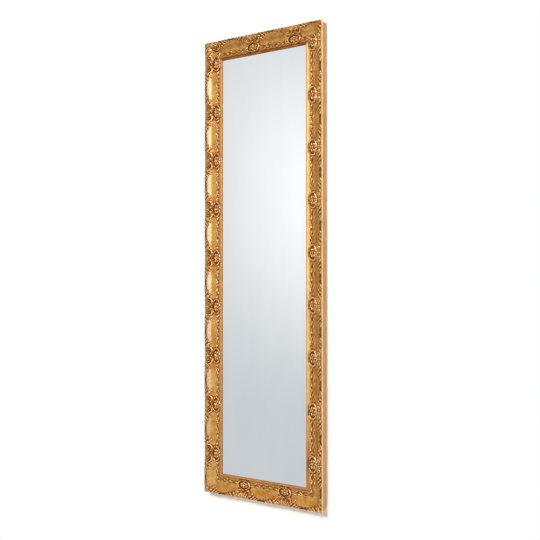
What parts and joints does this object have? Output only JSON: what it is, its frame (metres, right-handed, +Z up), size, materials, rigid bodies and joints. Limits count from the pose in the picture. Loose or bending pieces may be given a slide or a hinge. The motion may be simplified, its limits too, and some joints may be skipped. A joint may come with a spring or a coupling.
{
  "type": "full-length mirror",
  "caption": "Tall rectangular wall mirror in a gilded baroque moulding frame with pressed rosettes and leaves, hung by D-rings on its back.",
  "frame": {"origin": "on the wall that the bumpers rest on, behind the middle of the mirror", "axes": "front faces -Y, +Y into the wall, +Z up, +X to the right as seen from the front"},
  "size_m": [0.5, 0.039, 1.6],
  "materials": {
    "gilded_wood": "gold leaf over red-brown bole",
    "gilt_relief": "pressed composition, gilded, with dark patina in its hollows",
    "mirror_pane": "silvered float glass",
    "hardboard": "plain brown hardboard",
    "zinc_steel": "zinc plated",
    "rubber": "matt black"
  },
  "bodies": {
    "frame": {"left_stile": "gilded_wood", "right_stile": "gilded_wood", "top_rail": "gilded_wood", "bottom_rail": "gilded_wood", "left_stile_medallions": "gilt_relief", "left_stile_leaf_sprays": "gilt_relief", "left_stile_leaf_run": "gilt_relief", "right_stile_medallions": "gilt_relief", "right_stile_leaf_sprays": "gilt_relief", "right_stile_leaf_run": "gilt_relief", "top_rail_medallions": "gilt_relief", "top_rail_leaf_sprays": "gilt_relief", "top_rail_leaf_run": "gilt_relief", "bottom_rail_medallions": "gilt_relief", "bottom_rail_leaf_sprays": "gilt_relief", "bottom_rail_leaf_run": "gilt_relief", "mirror_glass": "mirror_pane", "backing_board": "hardboard", "setting_blocks": "rubber", "backing_points": "zinc_steel", "corner_nails": "zinc_steel", "left_hanger_strap": "zinc_steel", "right_hanger_strap": "zinc_steel", "hanger_screws": "zinc_steel", "wall_bumpers": "rubber"},
    "left_ring": {"left_hanger_ring": "zinc_steel"},
    "right_ring": {"right_hanger_ring": "zinc_steel"}
  },
  "joints": [
    {"name": "left_ring_hinge", "type": "hinge", "parent": "frame", "child": "left_ring", "pos_m": [-0.218, -0.0034, 0.45], "axis": [-1, 0, 0], "range_deg": [0, 175]},
    {"name": "right_ring_hinge", "type": "hinge", "parent": "frame", "child": "right_ring", "pos_m": [0.218, -0.0034, 0.45], "axis": [-1, 0, 0], "range_deg": [0, 175]}
  ]
}
